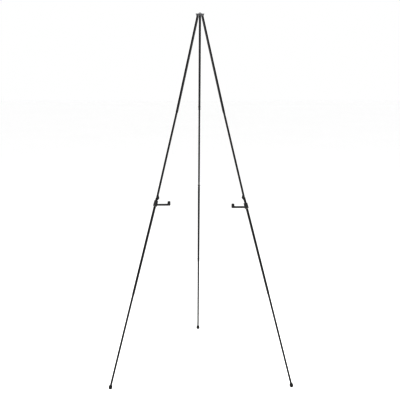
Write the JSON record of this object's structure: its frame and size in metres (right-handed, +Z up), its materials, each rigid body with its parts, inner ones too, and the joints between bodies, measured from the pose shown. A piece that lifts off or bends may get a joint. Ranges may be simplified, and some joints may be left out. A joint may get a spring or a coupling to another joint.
{
  "type": "folding tripod display easel",
  "caption": "Slim black steel tripod easel whose channel legs fold in a zigzag under a round head; sliding, swivelling arms with upturned hooks on the front legs hold a board.",
  "frame": {"origin": "middle of the footprint box, on the floor", "axes": "+Z up; the two legs with holders face -Y; +X is to the right seen from the front"},
  "size_m": [0.805, 0.699, 1.6],
  "materials": {
    "leg_paint": "satin black powder coat",
    "head_paint": "satin grey powder coat",
    "dome_steel": "gloss black enamel",
    "rivet_steel": "black oxide, rubbed",
    "spring_steel": "blued spring steel",
    "bush_nylon": "moulded black nylon",
    "holder_plastic": "moulded black plastic",
    "hook_vinyl": "soft dipped vinyl",
    "foot_rubber": "moulded matt rubber"
  },
  "bodies": {
    "head": {"head_plate": "head_paint", "hinge_bracket": "head_paint", "centre_rivet": "dome_steel", "head_hinge_rivets": "rivet_steel"},
    "left_upper": {"left_upper_channel": "leg_paint", "left_upper_rivet": "rivet_steel"},
    "left_second": {"left_second_channel": "leg_paint"},
    "left_third": {"left_third_channel": "leg_paint", "left_middle_rivet": "rivet_steel", "left_lower_rivet": "rivet_steel"},
    "left_lower": {"left_lower_channel": "leg_paint", "left_foot": "foot_rubber"},
    "right_upper": {"right_upper_channel": "leg_paint", "right_upper_rivet": "rivet_steel"},
    "right_second": {"right_second_channel": "leg_paint"},
    "right_third": {"right_third_channel": "leg_paint", "right_middle_rivet": "rivet_steel", "right_lower_rivet": "rivet_steel"},
    "right_lower": {"right_lower_channel": "leg_paint", "right_foot": "foot_rubber"},
    "rear_upper": {"rear_upper_channel": "leg_paint", "rear_upper_rivet": "rivet_steel"},
    "rear_second": {"rear_second_channel": "leg_paint"},
    "rear_third": {"rear_third_channel": "leg_paint", "rear_middle_rivet": "rivet_steel", "rear_lower_rivet": "rivet_steel"},
    "rear_lower": {"rear_lower_channel": "leg_paint", "rear_foot": "foot_rubber"},
    "left_slider": {"left_holder_bush": "bush_nylon", "left_holder_retainer": "spring_steel", "left_holder_spring": "spring_steel"},
    "left_arm": {"left_holder_arm": "holder_plastic", "left_holder_tip": "hook_vinyl"},
    "right_slider": {"right_holder_bush": "bush_nylon", "right_holder_retainer": "spring_steel", "right_holder_spring": "spring_steel"},
    "right_arm": {"right_holder_arm": "holder_plastic", "right_holder_tip": "hook_vinyl"}
  },
  "joints": [
    {"name": "left_leg_splay", "type": "hinge", "parent": "head", "child": "left_upper", "pos_m": [-0.00901, -0.11929, 1.58926], "axis": [0.5, -0.866, 0], "range_deg": [0, 14.6]},
    {"name": "left_leg_fold", "type": "hinge", "parent": "left_upper", "child": "left_second", "pos_m": [-0.09764, -0.17046, 1.19637], "axis": [-0.5, 0.866, 0], "range_deg": [0, 179.2]},
    {"name": "left_middle_fold", "type": "hinge", "parent": "left_second", "child": "left_third", "pos_m": [-0.18174, -0.21902, 0.82083], "axis": [0.5, -0.866, 0], "range_deg": [0, 180.99]},
    {"name": "left_lower_fold", "type": "hinge", "parent": "left_third", "child": "left_lower", "pos_m": [-0.28962, -0.2813, 0.42098], "axis": [-0.5, 0.866, 0], "range_deg": [0, 180.01]},
    {"name": "right_leg_splay", "type": "hinge", "parent": "head", "child": "right_upper", "pos_m": [0.00901, -0.11929, 1.58926], "axis": [0.5, 0.866, 0], "range_deg": [0, 14.6]},
    {"name": "right_leg_fold", "type": "hinge", "parent": "right_upper", "child": "right_second", "pos_m": [0.09764, -0.17046, 1.19637], "axis": [-0.5, -0.866, 0], "range_deg": [0, 179.2]},
    {"name": "right_middle_fold", "type": "hinge", "parent": "right_second", "child": "right_third", "pos_m": [0.18174, -0.21902, 0.82083], "axis": [0.5, 0.866, 0], "range_deg": [0, 180.99]},
    {"name": "right_lower_fold", "type": "hinge", "parent": "right_third", "child": "right_lower", "pos_m": [0.28962, -0.2813, 0.42098], "axis": [-0.5, -0.866, 0], "range_deg": [0, 180.01]},
    {"name": "rear_leg_splay", "type": "hinge", "parent": "head", "child": "rear_upper", "pos_m": [0, -0.10369, 1.58926], "axis": [-1, 0, 0], "range_deg": [0, 14.6]},
    {"name": "rear_leg_fold", "type": "hinge", "parent": "rear_upper", "child": "rear_second", "pos_m": [0, -0.00135, 1.19637], "axis": [1, 0, 0], "range_deg": [0, 179.2]},
    {"name": "rear_middle_fold", "type": "hinge", "parent": "rear_second", "child": "rear_third", "pos_m": [0, 0.09576, 0.82083], "axis": [-1, 0, 0], "range_deg": [0, 180.99]},
    {"name": "rear_lower_fold", "type": "hinge", "parent": "rear_third", "child": "rear_lower", "pos_m": [0, 0.22033, 0.42098], "axis": [1, 0, 0], "range_deg": [0, 180.01]},
    {"name": "left_holder_slide", "type": "slide", "parent": "left_third", "child": "left_slider", "axis": [0.2442, 0.141, 0.9594], "range_m": [-0.3, 0]},
    {"name": "left_arm_swivel", "type": "hinge", "parent": "left_slider", "child": "left_arm", "pos_m": [-0.19349, -0.22581, 0.79772], "axis": [-0.2442, -0.141, -0.9594], "range_deg": [0, 95]},
    {"name": "right_holder_slide", "type": "slide", "parent": "right_third", "child": "right_slider", "axis": [-0.2442, 0.141, 0.9594], "range_m": [-0.3, 0]},
    {"name": "right_arm_swivel", "type": "hinge", "parent": "right_slider", "child": "right_arm", "pos_m": [0.19642, -0.2275, 0.7862], "axis": [-0.2442, 0.141, 0.9594], "range_deg": [0, 95]}
  ],
  "couplings": [
    {"joint": "left_middle_fold", "follows": "left_leg_fold", "ratio": 1.0099},
    {"joint": "left_lower_fold", "follows": "left_leg_fold", "ratio": 1.0045},
    {"joint": "right_middle_fold", "follows": "right_leg_fold", "ratio": 1.0099},
    {"joint": "right_lower_fold", "follows": "right_leg_fold", "ratio": 1.0045},
    {"joint": "rear_middle_fold", "follows": "rear_leg_fold", "ratio": 1.0099},
    {"joint": "rear_lower_fold", "follows": "rear_leg_fold", "ratio": 1.0045}
  ]
}
